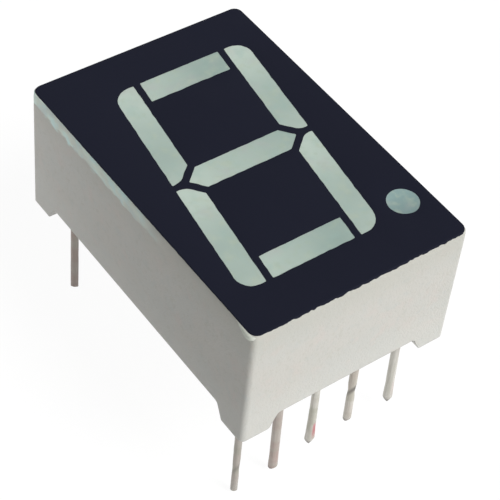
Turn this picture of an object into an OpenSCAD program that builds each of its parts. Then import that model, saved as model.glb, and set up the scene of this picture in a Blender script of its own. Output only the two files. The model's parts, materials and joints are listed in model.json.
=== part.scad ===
// Single-digit seven segment LED display with a decimal point and ten pins.
// Frame: X across the digit, Y up the digit, Z out of the lit face.
// The origin is the middle of the seating plane, where the feet stand on the host board.
// All sizes are in millimetres.

/* [Housing] */
// Width of the housing, across the digit
body_w = 12.6; // [12.4:0.1:16]
// Length of the housing, up the digit
body_l = 19.0; // [18.4:0.1:24]
// Height of the lit face above the seating plane
body_h = 7.8; // [7:0.1:10]
// Thickness of the skirt round the board
skirt_t = 0.7; // [0.5:0.05:0.85]
// Radius of the upright corners
corner_r = 0.3; // [0.25:0.05:1]
// Radius of the skirt's inner corners
cavity_r = 0.3; // [0.25:0.05:0.6]
// How far the rounded rim of the face stands in from the walls
rim_in = 0.05; // [0.02:0.01:0.2]
// How far the rounded rim reaches down the walls
rim_drop = 0.6; // [0.2:0.05:0.8]

/* [Feet] */
// Height of the skirt's edge above the seating plane
foot_h = 0.95; // [0.4:0.05:1.1]
// Length of each foot along the walls, at the seating plane
foot_l = 1.65; // [1:0.05:3]
// Run of the sloped flank from a foot up to the skirt's edge
foot_flank = 0.45; // [0.3:0.05:1]
// Radius of the inner corner where a flank runs into the skirt's edge
arch_r = 0.25; // [0.05:0.05:0.4]
// Radius of the corner where a flank runs into a foot's sole
foot_r = 0.12; // [0.05:0.01:0.2]

/* [Digit] */
// Height of the digit
digit_h = 14.1; // [12:0.1:17]
// Width of the digit, measured square to its slanted sides
digit_w = 8.12; // [7:0.01:8.6]
// Distance from the face's middle line to the digit's own
digit_x = -0.07; // [-0.2:0.01:0.2]
// Slant of the digit, in degrees
slant = 8; // [0:0.5:10]
// Width of an upright stroke
stroke_v = 1.3; // [1:0.01:1.6]
// Width of a level stroke
stroke_h = 1.44; // [1:0.01:1.6]
// Gap between a level stroke and the upright strokes beside it
seg_gap = 0.37; // [0.25:0.01:0.6]
// Gap between the middle stroke and the chamfers beside it, measured square to them
chamfer_gap = 0.4; // [0.25:0.01:0.6]
// Gap between the upright strokes above and below the digit's waist
waist_gap = 0.38; // [0.3:0.01:0.6]
// How far the middle stroke's points reach in between the upright strokes
point_reach = 0.44; // [0.2:0.01:0.6]
// Radius of the digit's outer corners
digit_r = 0.95; // [0.3:0.05:1]
// Radius where the chamfer of an upright stroke runs into its flat end
chamfer_r = 0.7; // [0.1:0.05:0.8]
// Radius of the small corners on every segment
tip_r = 0.06; // [0.05:0.01:0.2]

/* [Decimal point] */
// Diameter of the decimal point
dp_d = 1.67; // [1.3:0.01:1.8]
// Place of the decimal point across the face
dp_x = 4.77; // [4.5:0.01:4.9]
// Height of the decimal point's middle above the digit's base line
dp_rise = 0.67; // [0.5:0.01:1]

/* [Face print] */
// Thickness of the print
print_t = 0.05; // [0.02:0.01:0.1]
// Margin between the print and the start of the rim
print_margin = 0; // [0:0.01:0.2]
// Radius of the print's corners
print_r = 0.42; // [0.3:0.02:1]

/* [Light wells] */
// Half width of a well's mouth at the board, across its stroke
mouth_across = 0.55; // [0.45:0.01:0.6]
// Half length of a well's mouth at the board, along its stroke
mouth_along = 0.95; // [0.7:0.01:1.2]
// Diameter of the decimal point's mouth at the board
dp_mouth_d = 1.2; // [1.15:0.01:1.3]
// Depth of the straight land at the top of each well
land = 0.5; // [0.3:0.05:1]
// Thinnest wall between a well and the relief over a pin's tail
tail_wall = 0.3; // [0.2:0.05:0.5]

/* [Cored pockets] */
// Thickness of the face over the pockets
face_t = 0.9; // [0.6:0.05:1.5]
// Thickness of the web between a pocket and a light well
web = 0.55; // [0.4:0.05:0.8]
// How much thicker than the skirt the wall beside a side pocket is
wall_extra = 0.3; // [0:0.05:0.4]
// Radius of the corners of the pockets inside the digit
loop_r = 0.4; // [0.1:0.05:0.8]
// Radius of the corners of the pockets beside the digit
side_r = 0.2; // [0.1:0.05:0.25]
// Distance from the face's middle line to the inner end of a side pocket
side_start = 0.6; // [0.4:0.05:1.5]
// Distance from the row of pins to the outer end of a side pocket
side_end = 1; // [0.8:0.05:2]

/* [Board] */
// Thickness of the circuit board
board_t = 1.0; // [0.8:0.1:1.6]
// Height of the board's solder side above the seating plane
board_z = 2.2; // [2:0.05:2.4]
// Clearance between the board and the skirt
board_gap = 0.1; // [0.05:0.01:0.15]
// Thickness of the copper
copper_t = 0.035; // [0.018:0.001:0.07]
// Width of a track
track_w = 0.25; // [0.15:0.01:0.35]
// Width of the copper ring round a plated hole
pad_ring = 0.08; // [0.05:0.01:0.12]
// Least width of board left outside a pad
pad_edge = 0.03; // [0.01:0.01:0.1]
// Thickness of the plating in the holes
plating_t = 0.03; // [0.02:0.005:0.05]
// How far a chip's pad shows round the chip
chip_margin = 0.08; // [0.04:0.01:0.1]
// Width of the pad that a bond wire lands on
landing_w = 0.3; // [0.2:0.01:0.3]

/* [Board pegs] */
// Diameter of the housing's two board pegs
peg_d = 0.9; // [0.7:0.05:1.1]
// Place of a peg in the digit's slanted frame, across and up. The other peg is across its middle
peg_at = [1.2, 2.2]; // [1:0.1:3]
// Clearance round each peg in the board
peg_gap = 0.05; // [0.02:0.01:0.1]
// How far a peg's staked head stands out over the board
peg_lip = 0.25; // [0.15:0.01:0.4]
// Height of a peg's staked head
peg_head_h = 0.25; // [0.1:0.01:0.4]

/* [Pins] */
// Diameter of a pin
pin_d = 0.45; // [0.4:0.01:0.55]
// Pitch of the pins along a row
pin_pitch = 2.54; // [2.2:0.01:2.54]
// Distance between the two rows
row_pitch = 15.24; // [14:0.01:15.8]
// How far the pins reach below the seating plane
pin_below = 6.7; // [3:0.1:12]
// Length of the tapered tip
tip_l = 0.35; // [0.1:0.05:0.8]
// Diameter at the end of the tip
tip_d = 0.24; // [0.1:0.01:0.3]
// How far the anchor collar in the potting stands out from the pin
collar_step = 0.175; // [0.16:0.005:0.18]
// How far the pin's tail stands above the board
tail_h = 0.25; // [0.1:0.05:0.35]
// Clearance round a pin's tail in the housing's blind relief
tail_gap = 0.1; // [0.05:0.01:0.15]
// Clearance between a pin and its plated hole
hole_gap = 0.05; // [0.03:0.01:0.06]

/* [Solder] */
// Height of the solder cone under the board
solder_h = 0.4; // [0.2:0.05:0.6]
// Width of the flat that the cone leaves on the anchor collar
solder_flat = 0.08; // [0.02:0.01:0.12]
// Thickness of the solder where it ends on the pin's tail
solder_end = 0.03; // [0.01:0.01:0.05]

/* [Chips and wires] */
// Width of an LED chip
chip_w = 0.3; // [0.2:0.01:0.34]
// Height of an LED chip
chip_h = 0.25; // [0.15:0.01:0.35]
// Distance from a light's middle back to its chip
chip_back = 0.25; // [0.25:0.01:0.3]
// Distance from the middle of a chip to its wire's landing
wire_span = 0.6; // [0.56:0.01:0.62]
// Diameter of a bond wire
wire_d = 0.04; // [0.03:0.005:0.05]
// Height of the wire's loop above the line between its ends
loop_h = 0.3; // [0.15:0.01:0.4]
// Diameter of the flattened ball at each end of a wire
ball_d = 0.1; // [0.07:0.01:0.14]
// Height of that ball
ball_h = 0.03; // [0.02:0.01:0.05]

/* [Potting] */
// Height of the potting's surface above the skirt's edge
potting_recess = 0.2; // [0.1:0.05:0.4]
// How far the anchor collars are sunk below the potting's surface
collar_cover = 0.1; // [0.05:0.01:0.15]
// How far the resin creeps along the skirt and the pins
creep = 0.15; // [0.05:0.01:0.2]
// Thickness at which the creeping resin ends
feather = 0.02; // [0.01:0.005:0.04]

/* [Hidden] */
$fn = 48;
EPS = 0.01;               // overshoot of a cut past the face that it opens
CORNER_STEPS = 8;         // steps round one corner of the housing
RIM_STEPS = 5;            // steps over a rounded rim or a resin fillet
WELL_STEPS = 3;           // steps up a well's funnel
WELL_CURVE = 0.8;         // under 1 opens the funnel faster near the board
MOUTH_POWER = 4;          // superellipse power of a well's mouth
OUTLINE_STEP = 0.75;      // longest straight step along a segment's outline
ARC_STEP = 15;            // degrees for each step round a corner of an outline
POINT_SIDES = 48;         // steps round the decimal point
WIRE_SIDES = 8;
WIRE_STEPS = 9;
PINS_PER_ROW = 5;
SEGMENTS = ["a", "b", "c", "d", "e", "f", "g"];
LIGHTS = concat(SEGMENTS, ["dp"]);
PINS = [for (n = [1 : 2 * PINS_PER_ROW]) n];
PIN_OF = [["a", 7], ["b", 6], ["c", 4], ["d", 2], ["e", 1], ["f", 9], ["g", 10], ["dp", 5]];
COMMON_PINS = [3, 8];     // these two are joined, and feed every chip

body = [body_w, body_l];
cavity = body - 2 * [skirt_t, skirt_t];
face_z = body_h - print_t;                    // the moulded face, under the print
board_top = board_z + board_t;
hole_d = pin_d + 2 * hole_gap;                // finished hole, inside the plating
drill_d = hole_d + 2 * plating_t;
pad_d = drill_d + 2 * pad_ring;
ear_r = pad_d / 2 + pad_edge;                 // the board reaches at least this far round a pin
tail_top = board_top + tail_h;
tail_r = pad_d / 2 + tail_gap;
potting_z = foot_h + potting_recess;
wall_creep = min(creep, potting_recess);      // the fillet ends at the skirt's edge
collar_d = pin_d + 2 * collar_step;
collar_z = potting_z + collar_cover;
collar_top = board_z - solder_h;
funnel_low = tail_top + tail_gap + tail_wall; // a well stays narrow until it is past the tails
funnel_high = body_h - land;

// ---------- plane geometry ----------

// A point of the digit's slanted frame, in the face's own X and Y.
function slanted(p) = [p.x + p.y * tan(slant) + digit_x, p.y];

function unit(v) = v / norm(v);

// The arc that rounds the corner b on the way from a to c, whichever way it turns there.
function rounded_corner(a, b, c, r) =
    let (
        to_a = unit(a - b),
        to_c = unit(c - b),
        half = acos(to_a * to_c) / 2,
        centre = b + unit(to_a + to_c) * r / sin(half),
        start = b + to_a * r / tan(half) - centre,
        turn = to_a.y * to_c.x > to_a.x * to_c.y ? 1 : -1,
        sweep = turn * (180 - 2 * half),
        first = atan2(start.y, start.x),
        steps = max(1, ceil(abs(sweep) / ARC_STEP))
    )
    [
        for (i = [0 : steps])
            let (angle = first + sweep * i / steps)
            centre + r * [cos(angle), sin(angle)]
    ];

// A counter-clockwise outline with a radius at each of its corners.
function rounded(points, radii) =
    let (n = len(points))
    [
        for (i = [0 : n - 1])
            each rounded_corner(points[(i + n - 1) % n], points[i], points[(i + 1) % n], radii[i])
    ];

// The same outline with its long sides cut into steps, so that it can be lofted.
function stepped(points, step) =
    let (n = len(points))
    [
        for (i = [0 : n - 1])
            let (a = points[i], b = points[(i + 1) % n], count = max(1, ceil(norm(b - a) / step)))
            for (j = [0 : count - 1]) a + (b - a) * j / count
    ];

// Mirrored across the digit's upright or level middle line, and still counter-clockwise.
function mirrored(points, sx, sy) =
    let (flipped = [for (p = points) [p.x * sx, p.y * sy]], n = len(points))
    sx * sy > 0 ? flipped : [for (i = [n - 1 : -1 : 0]) flipped[i]];

// A circle as points.
function round_edge(centre, d) =
    let (turn = 360 / POINT_SIDES)
    [for (i = [0 : POINT_SIDES - 1]) centre + d / 2 * [cos(turn * i), sin(turn * i)]];

// A rectangle with round corners, as points.
function rounded_rect(size, r) =
    let (c = size / 2 - [r, r], signs = [[1, 1], [-1, 1], [-1, -1], [1, -1]])
    [
        for (q = [0 : 3])
            for (i = [0 : CORNER_STEPS])
                let (angle = 90 * (q + i / CORNER_STEPS))
                [c.x * signs[q].x, c.y * signs[q].y] + r * [cos(angle), sin(angle)]
    ];

// The same rectangle as an exact shape.
module rounded_square(size, r) {
    square([size.x - 2 * r, size.y], center = true);
    square([size.x, size.y - 2 * r], center = true);
    for (sx = [-1, 1], sy = [-1, 1])
        translate([sx * (size.x / 2 - r), sy * (size.y / 2 - r)]) circle(r);
}

// ---------- lofts ----------

// A closed solid through rings of equal length, lowest first, each counter-clockwise from above.
module loft(rings) {
    n = len(rings[0]);
    last = len(rings) - 1;
    polyhedron(
        points = [for (ring = rings) each ring],
        faces = concat(
            [[for (i = [0 : n - 1]) i]],
            [
                for (k = [0 : last - 1])
                    for (i = [0 : n - 1])
                        let (j = (i + 1) % n)
                        each [
                            [k * n + i, (k + 1) * n + i, k * n + j],
                            [k * n + j, (k + 1) * n + i, (k + 1) * n + j]
                        ]
            ],
            [[for (i = [n - 1 : -1 : 0]) last * n + i]]
        )
    );
}

function lifted(points, z) = [for (p = points) [p.x, p.y, z]];

// Rings of a slab with upright sides and a rounded upper rim, which stands in by inset over its drop.
function slab_rings(size, r, base, top, inset, drop) =
    concat(
        [lifted(rounded_rect(size, r), base)],
        [
            for (i = [0 : RIM_STEPS])
                let (angle = 90 * i / RIM_STEPS, back = inset * (1 - cos(angle)))
                lifted(rounded_rect(size - 2 * [back, back], r - back), top - drop + drop * sin(angle))
        ]
    );

// ---------- the digit's outlines, in its slanted frame ----------

inner_u = digit_w / 2 - stroke_v;                   // inner side of the upright strokes
level_half = inner_u - seg_gap;                     // half length of the top and bottom strokes
tip_u = inner_u + point_reach;                      // the middle stroke's points
waist_v = waist_gap / 2;                            // the flat inner ends of the upright strokes
chamfer_v = point_reach + chamfer_gap * sqrt(2);    // where their chamfers start
flat_end = stroke_v - chamfer_v + waist_v;          // length of a flat inner end
chamfer_round = min(chamfer_r, (flat_end - tip_r) / tan(45 / 2));   // it has to end on the flat

level_outline = rounded(
    [
        [-level_half, digit_h / 2 - stroke_h],
        [level_half, digit_h / 2 - stroke_h],
        [level_half, digit_h / 2],
        [-level_half, digit_h / 2]
    ],
    [tip_r, tip_r, tip_r, tip_r]
);

waist_outline = rounded(
    [
        [-tip_u + stroke_h / 2, -stroke_h / 2],
        [tip_u - stroke_h / 2, -stroke_h / 2],
        [tip_u, 0],
        [tip_u - stroke_h / 2, stroke_h / 2],
        [-tip_u + stroke_h / 2, stroke_h / 2],
        [-tip_u, 0]
    ],
    [tip_r, tip_r, tip_r, tip_r, tip_r, tip_r]
);

upright_outline = rounded(
    [
        [inner_u, digit_h / 2],
        [inner_u, chamfer_v],
        [inner_u + chamfer_v - waist_v, waist_v],
        [digit_w / 2, waist_v],
        [digit_w / 2, digit_h / 2]
    ],
    [tip_r, tip_r, chamfer_round, tip_r, digit_r]
);

function outline(s) =
    s == "a" ? level_outline
    : s == "b" ? upright_outline
    : s == "c" ? mirrored(upright_outline, 1, -1)
    : s == "d" ? mirrored(level_outline, 1, -1)
    : s == "e" ? mirrored(upright_outline, -1, -1)
    : s == "f" ? mirrored(upright_outline, -1, 1)
    : waist_outline;

// ---------- where each light sits ----------

upright_u = (digit_w - stroke_v) / 2;
upright_v = (digit_h / 2 + waist_v) / 2;
level_v = (digit_h - stroke_h) / 2;
dp_at = [dp_x, dp_rise - digit_h / 2];

// Pins 1 to 5 run left to right along the bottom row, and 6 to 10 right to left along the top row.
function pin_at(n) =
    let (i = (n - 1) % PINS_PER_ROW - (PINS_PER_ROW - 1) / 2)
    n <= PINS_PER_ROW ? [i * pin_pitch, -row_pitch / 2] : [-i * pin_pitch, row_pitch / 2];

function pin_of(s) = PIN_OF[search([s], PIN_OF)[0]][1];

function is_level(s) = s == "a" || s == "d" || s == "g";

// Middle of a segment, for a given height of the top one's middle.
function middle_of(s, top) =
    s == "a" ? [0, top]
    : s == "b" ? [upright_u, upright_v]
    : s == "c" ? [upright_u, -upright_v]
    : s == "d" ? [0, -top]
    : s == "e" ? [-upright_u, -upright_v]
    : s == "f" ? [-upright_u, upright_v]
    : [0, 0];

// Height above the middle line up to which a mouth of this half width clears the tails' reliefs.
function clear_of_tails(half) = row_pitch / 2 - tail_r - tail_wall - half;

// Middle of a well's mouth, where it is kept clear of the pins' tails.
function mouth_middle(s) = middle_of(s, min(level_v, clear_of_tails(mouth_across)));

// Middle of a light on the board.
function light_at(s) =
    s == "dp"
    ? [
        min(dp_at.x, cavity.x / 2 - board_gap - dp_mouth_d / 2),
        max(dp_at.y, -clear_of_tails(dp_mouth_d / 2))
    ]
    : slanted(mouth_middle(s));

// Way from a light's chip to its wire's landing.
function wire_way(s) =
    s == "a" ? [1, 0]
    : s == "d" || s == "g" ? [-1, 0]
    : s == "b" || s == "f" ? [0, 1]
    : [0, -1];

function chip_at(s) = light_at(s) - wire_way(s) * chip_back;
function landing_at(s) = chip_at(s) + wire_way(s) * wire_span;

// ---------- light wells ----------

// Outline of a light on the face.
function face_edge(s) =
    s == "dp" ? round_edge(dp_at, dp_d) : [for (p = stepped(outline(s), OUTLINE_STEP)) slanted(p)];

// A point of a segment's outline, drawn in to the superellipse of its well's mouth.
function mouth_point(p, s) =
    let (
        half = is_level(s) ? [inner_u, stroke_h / 2] : [stroke_v / 2, digit_h / 4],
        mouth = is_level(s) ? [mouth_along, mouth_across] : [mouth_across, mouth_along],
        from = p - middle_of(s, level_v),
        q = [from.x / half.x, from.y / half.y],
        size = pow(pow(abs(q.x), MOUTH_POWER) + pow(abs(q.y), MOUTH_POWER), 1 / MOUTH_POWER)
    )
    mouth_middle(s) + [mouth.x * q.x / size, mouth.y * q.y / size];

function mouth_edge(s) =
    s == "dp"
    ? round_edge(light_at(s), dp_mouth_d)
    : [for (p = stepped(outline(s), OUTLINE_STEP)) slanted(mouth_point(p, s))];

// The space of one light's well: a straight mouth at the board, a funnel and a straight land at the face.
module light_well(s) {
    edge = face_edge(s);
    mouth = mouth_edge(s);
    loft(concat(
        [lifted(mouth, board_top)],
        [
            for (k = [0 : WELL_STEPS])
                let (share = k / WELL_STEPS, open = pow(share, WELL_CURVE))
                lifted(
                    [for (i = [0 : len(edge) - 1]) mouth[i] + (edge[i] - mouth[i]) * open],
                    funnel_low + (funnel_high - funnel_low) * share
                )
        ],
        [lifted(edge, body_h)]
    ));
}

// ---------- housing ----------

// The skirt's inside, drawn in by a gap. It gives way round the corner pins when the skirt is thick.
module cavity_plan(gap) {
    rounded_square(cavity - 2 * [gap, gap], cavity_r);
    pin_circles(2 * (ear_r + board_gap - gap));
}

module pin_circles(d) {
    for (n = PINS) translate(pin_at(n)) circle(d = d);
}

// The gap between two feet, as a cut through a wall of the given length.
module arch_profile(length) {
    sole_end = [length / 2 - foot_l, 0];
    flank_end = sole_end + [-foot_flank, foot_h];
    edge = concat(
        rounded_corner(sole_end + [foot_l, 0], sole_end, flank_end, foot_r),
        rounded_corner(sole_end, flank_end, [0, foot_h], arch_r)
    );
    right = concat([[edge[0].x, -EPS]], edge);
    left = [for (i = [len(right) - 1 : -1 : 0]) [-right[i].x, right[i].y]];
    polygon(concat(right, left));
}

module arches() {
    rotate([90, 0, 0])
        linear_extrude(body_l + 2 * EPS, center = true) arch_profile(body_w);
    rotate([90, 0, 90])
        linear_extrude(body_w + 2 * EPS, center = true) arch_profile(body_l);
}

// Outline of a pocket beside the digit, upper left when way is 1 and lower right when it is -1.
function side_pocket(way, reach) =
    let (outer_x = cavity.x / 2 - wall_extra, inner_side = digit_w / 2 + web)
    rounded(
        [
            way * [-outer_x, side_start],
            slanted(way * [-inner_side, side_start]),
            slanted(way * [-inner_side, reach]),
            way * [-outer_x, reach]
        ],
        [side_r, side_r, side_r, side_r]
    );

// The pockets that keep the walls thin: one in each loop of the digit and one in each wide margin.
module cored_pockets() {
    loop_u = inner_u - web;
    loop_low = stroke_h / 2 + web;
    loop_high = digit_h / 2 - stroke_h - web;
    loop = rounded(
        [[-loop_u, loop_low], [loop_u, loop_low], [loop_u, loop_high], [-loop_u, loop_high]],
        [loop_r, loop_r, loop_r, loop_r]
    );
    translate([0, 0, board_top - EPS])
        linear_extrude(face_z - face_t - board_top + EPS) {
            for (way = [1, -1]) polygon([for (p = loop) slanted(way * p)]);
            polygon(side_pocket(1, row_pitch / 2 - side_end));
            polygon(side_pocket(-1, min(row_pitch / 2 - side_end, -dp_at.y - dp_d / 2 - web)));
        }
}

// Blind reliefs over the pins' tails.
module tail_reliefs() {
    translate([0, 0, board_top - EPS])
        linear_extrude(tail_h + tail_gap + EPS) pin_circles(2 * tail_r);
}

// Two pegs through the board, each staked over on the solder side.
module board_pegs() {
    for (way = [1, -1])
        translate(slanted(way * peg_at)) {
            translate([0, 0, board_z])
                cylinder(h = face_z - face_t - board_z + EPS, d = peg_d);
            translate([0, 0, board_z - peg_head_h])
                cylinder(h = peg_head_h, d1 = peg_d, d2 = peg_d + 2 * peg_lip);
        }
}

module housing() {
    color([0.85, 0.84, 0.81]) {
        difference() {
            loft(slab_rings(body, corner_r, 0, face_z, rim_in, rim_drop));
            translate([0, 0, -EPS]) linear_extrude(board_top + EPS) cavity_plan(0);
            arches();
            for (s = LIGHTS) light_well(s);
            cored_pockets();
            tail_reliefs();
        }
        board_pegs();
    }
}

// ---------- face ----------

module face_print() {
    inset = rim_in + print_margin;
    color([0.12, 0.12, 0.17])
        translate([0, 0, face_z]) difference() {
            linear_extrude(print_t) rounded_square(body - 2 * [inset, inset], print_r);
            translate([0, 0, -EPS]) linear_extrude(print_t + 2 * EPS)
                for (s = LIGHTS) polygon(face_edge(s));
        }
}

// The resin cast in a well, round the chip and the wire.
module cast_light(s) {
    difference() {
        light_well(s);
        chip_solid(s);
        wire_solid(s);
    }
}

module segment(s) {
    color([0.68, 0.74, 0.7]) cast_light(s);
}

module decimal_point() {
    color([0.6, 0.66, 0.63]) cast_light("dp");
}

// ---------- chips and wires ----------

module chip_solid(s) {
    translate([chip_at(s).x - chip_w / 2, chip_at(s).y - chip_w / 2, board_top])
        cube([chip_w, chip_w, chip_h]);
}

// The loop rises straight off the ball on the chip and comes down straight on the ball at its landing.
module wire_solid(s) {
    way = wire_way(s);
    side = [-way.y, way.x];
    start = chip_at(s);
    loft([
        for (k = [0 : WIRE_STEPS])
            let (
                t = 180 * k / WIRE_STEPS,
                along = wire_span * (1 - cos(t)) / 2,
                height = chip_h * (1 + cos(t)) / 2 + loop_h * sin(t),
                slope = atan2(loop_h * cos(t) - chip_h / 2 * sin(t), wire_span / 2 * sin(t)),
                lean = [-sin(slope), cos(slope)]
            )
            [
                for (j = [0 : WIRE_SIDES - 1])
                    let (a = 360 * j / WIRE_SIDES, r = wire_d / 2, out = along + r * cos(a) * lean.x)
                    [
                        start.x + way.x * out + side.x * r * sin(a),
                        start.y + way.y * out + side.y * r * sin(a),
                        board_top + height + r * cos(a) * lean.y
                    ]
            ]
    ]);
    translate([start.x, start.y, board_top + chip_h]) cylinder(h = ball_h, d = ball_d);
    translate([landing_at(s).x, landing_at(s).y, board_top]) cylinder(h = ball_h, d = ball_d);
}

module led_chip(s) {
    color([0.75, 0.3, 0.25]) chip_solid(s);
}

module bond_wire(s) {
    color([0.85, 0.8, 0.6]) wire_solid(s);
}

// ---------- board ----------

module track(points) {
    for (i = [0 : len(points) - 2]) {
        a = points[i];
        b = points[i + 1];
        translate(a) rotate(atan2(b.y - a.y, b.x - a.x))
            translate([0, -track_w / 2]) square([norm(b - a), track_w]);
    }
    for (p = points) translate(p) circle(d = track_w);
}

// The way from a light's landing to its own pin.
function signal_route(s) =
    let (from = landing_at(s), to = pin_at(pin_of(s)))
    s == "g" ? [from, [to.x, from.y], to]
    : is_level(s) || s == "dp" ? [from, to]
    : [from, [from.x, (from.y + to.y) / 2], to];

// The common net: a spine through the level strokes, a bar to each pair of uprights, and a branch
// to the decimal point.
module common_tracks() {
    bar_v = upright_v - chip_back;
    track([pin_at(COMMON_PINS[1]), chip_at("a"), chip_at("g"), chip_at("d"), pin_at(COMMON_PINS[0])]);
    for (v = [bar_v, -bar_v])
        track([slanted([-upright_u, v]), slanted([upright_u, v])]);
    track([chip_at("c"), [light_at("dp").x, chip_at("c").y], chip_at("dp")]);
}

// Everything on the board's chip side.
module copper_pattern() {
    common_tracks();
    for (s = LIGHTS) {
        translate(chip_at(s)) square(chip_w + 2 * chip_margin, center = true);
        translate(landing_at(s)) square(landing_w, center = true);
        track(signal_route(s));
    }
    pin_circles(pad_d);
}

module board_copper() {
    color([0.8, 0.62, 0.3]) {
        translate([0, 0, board_top - copper_t]) linear_extrude(copper_t) difference() {
            copper_pattern();
            pin_circles(hole_d);
        }
        translate([0, 0, board_z]) linear_extrude(copper_t) difference() {
            pin_circles(pad_d);
            pin_circles(hole_d);
        }
        translate([0, 0, board_z]) linear_extrude(board_t) difference() {
            pin_circles(drill_d);
            pin_circles(hole_d);
        }
    }
}

module circuit_board() {
    color([0.86, 0.88, 0.82]) difference() {
        translate([0, 0, board_z]) linear_extrude(board_t) cavity_plan(board_gap);
        translate([0, 0, board_top - copper_t]) linear_extrude(copper_t + EPS) copper_pattern();
        translate([0, 0, board_z - EPS]) linear_extrude(copper_t + EPS) pin_circles(pad_d);
        translate([0, 0, board_z - EPS]) linear_extrude(board_t + 2 * EPS) {
            pin_circles(drill_d);
            for (way = [1, -1])
                translate(slanted(way * peg_at)) circle(d = peg_d + 2 * peg_gap);
        }
    }
}

// ---------- pins and solder ----------

module pin_solid() {
    rotate_extrude() polygon([
        [0, -pin_below],
        [tip_d / 2, -pin_below],
        [pin_d / 2, tip_l - pin_below],
        [pin_d / 2, collar_z],
        [collar_d / 2, collar_z],
        [collar_d / 2, collar_top],
        [pin_d / 2, collar_top],
        [pin_d / 2, tail_top],
        [0, tail_top]
    ]);
}

module pin(n) {
    color([0.72, 0.71, 0.66]) translate(pin_at(n)) pin_solid();
}

// Solder fills the hole and draws a cone on each side of the board.
module joint_solid() {
    rotate_extrude() polygon([
        [pin_d / 2, collar_top],
        [collar_d / 2 - solder_flat, collar_top],
        [pad_d / 2, board_z],
        [hole_d / 2, board_z],
        [hole_d / 2, board_top],
        [pad_d / 2, board_top],
        [pin_d / 2 + solder_end, tail_top],
        [pin_d / 2, tail_top]
    ]);
}

module solder_joints() {
    color([0.7, 0.71, 0.72])
        for (n = PINS) translate(pin_at(n)) joint_solid();
}

// ---------- potting ----------

// The resin's fillet round a pin.
module creep_ring() {
    rotate_extrude() polygon(concat(
        [[0, potting_z + EPS], [0, potting_z - creep]],
        [
            for (i = [0 : RIM_STEPS])
                let (angle = 90 * i / RIM_STEPS)
                [
                    pin_d / 2 + creep - (creep - feather) * cos(angle),
                    potting_z - creep + creep * sin(angle)
                ]
        ],
        [[pin_d / 2 + creep, potting_z + EPS]]
    ));
}

module back_potting() {
    low = potting_z - wall_creep;
    open = cavity - 2 * [feather, feather];
    color([0.8, 0.82, 0.78]) difference() {
        union() {
            difference() {
                translate([0, 0, low]) linear_extrude(board_top - low) cavity_plan(0);
                loft(slab_rings(open, cavity_r - feather, low - EPS, potting_z, wall_creep, wall_creep));
            }
            for (n = PINS) translate(pin_at(n)) creep_ring();
        }
        translate([0, 0, board_z]) linear_extrude(board_t + EPS) cavity_plan(board_gap);
        for (n = PINS) translate(pin_at(n)) {
            pin_solid();
            joint_solid();
        }
        board_pegs();
    }
}

// ---------- assembly ----------

housing();
face_print();
for (s = SEGMENTS)
    segment(s);
decimal_point();
circuit_board();
board_copper();
for (s = LIGHTS)
    led_chip(s);
for (s = LIGHTS)
    bond_wire(s);
for (n = PINS)
    pin(n);
solder_joints();
back_potting();
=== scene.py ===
# %% [markdown]
# # A seven segment display, finished in Blender
#
# A seven segment display shows one numeral with seven lit bars and a dot. A white moulded housing
# has a funnel under each bar, the funnels are cast full of milky resin, and the face is printed
# black round them. Ten tinned leads carry the current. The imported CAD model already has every
# piece at its place and size, so nothing here is moved or resized. This script adds what the eye
# sees: soft-edged ink, cloudy resin, matt plastic, hand-trimmed leads and plain studio light.

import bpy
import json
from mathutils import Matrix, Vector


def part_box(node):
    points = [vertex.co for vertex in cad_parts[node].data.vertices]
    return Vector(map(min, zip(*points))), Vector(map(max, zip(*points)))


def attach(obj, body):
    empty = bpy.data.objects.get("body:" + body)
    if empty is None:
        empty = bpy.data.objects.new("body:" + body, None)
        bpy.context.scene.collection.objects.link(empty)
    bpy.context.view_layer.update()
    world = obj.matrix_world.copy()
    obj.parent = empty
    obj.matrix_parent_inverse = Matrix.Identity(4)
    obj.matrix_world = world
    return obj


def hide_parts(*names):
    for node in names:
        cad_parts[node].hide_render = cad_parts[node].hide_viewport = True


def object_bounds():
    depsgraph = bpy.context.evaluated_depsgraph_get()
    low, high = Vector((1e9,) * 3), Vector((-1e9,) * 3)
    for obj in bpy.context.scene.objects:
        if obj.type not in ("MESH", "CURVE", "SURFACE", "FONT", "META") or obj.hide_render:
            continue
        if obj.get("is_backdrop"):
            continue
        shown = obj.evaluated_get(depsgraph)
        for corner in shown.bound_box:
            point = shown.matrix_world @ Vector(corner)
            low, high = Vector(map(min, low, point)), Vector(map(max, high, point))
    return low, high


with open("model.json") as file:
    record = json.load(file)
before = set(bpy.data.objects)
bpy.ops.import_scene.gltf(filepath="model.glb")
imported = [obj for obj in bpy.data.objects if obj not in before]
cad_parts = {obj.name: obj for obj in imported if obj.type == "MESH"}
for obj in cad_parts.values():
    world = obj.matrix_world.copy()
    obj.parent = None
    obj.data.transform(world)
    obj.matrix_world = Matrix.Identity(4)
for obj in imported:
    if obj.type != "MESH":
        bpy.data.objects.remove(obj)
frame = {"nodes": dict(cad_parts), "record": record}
cad_low, cad_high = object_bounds()
print("CAD box, mm:", [round(1000 * v, 2) for v in (*cad_low, *cad_high)])

# %% [markdown]
# Blender works in metres, and this part is the size of a thumbnail. One named constant keeps
# every size below in millimetres. Colours are written as they look on a screen, from 0 to 255,
# and one helper turns them into the linear light that shaders expect.

# %% Name the units and the colours
import json
import math

import bmesh
import bpy
from mathutils import Quaternion, Vector, noise

MM = 0.001
BODY = "root"
LIGHTS = ["a", "b", "c", "d", "e", "f", "g", "dp"]
scene = bpy.context.scene


def screen(red, green, blue):
    """A screen colour as linear red, green, blue and alpha."""
    shares = [value / 255 for value in (red, green, blue)]
    linear = [s / 12.92 if s <= 0.04045 else ((s + 0.055) / 1.055) ** 2.4 for s in shares]
    return (*linear, 1.0)


print("mid grey in linear light:", round(screen(128, 128, 128)[0], 3))

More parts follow.
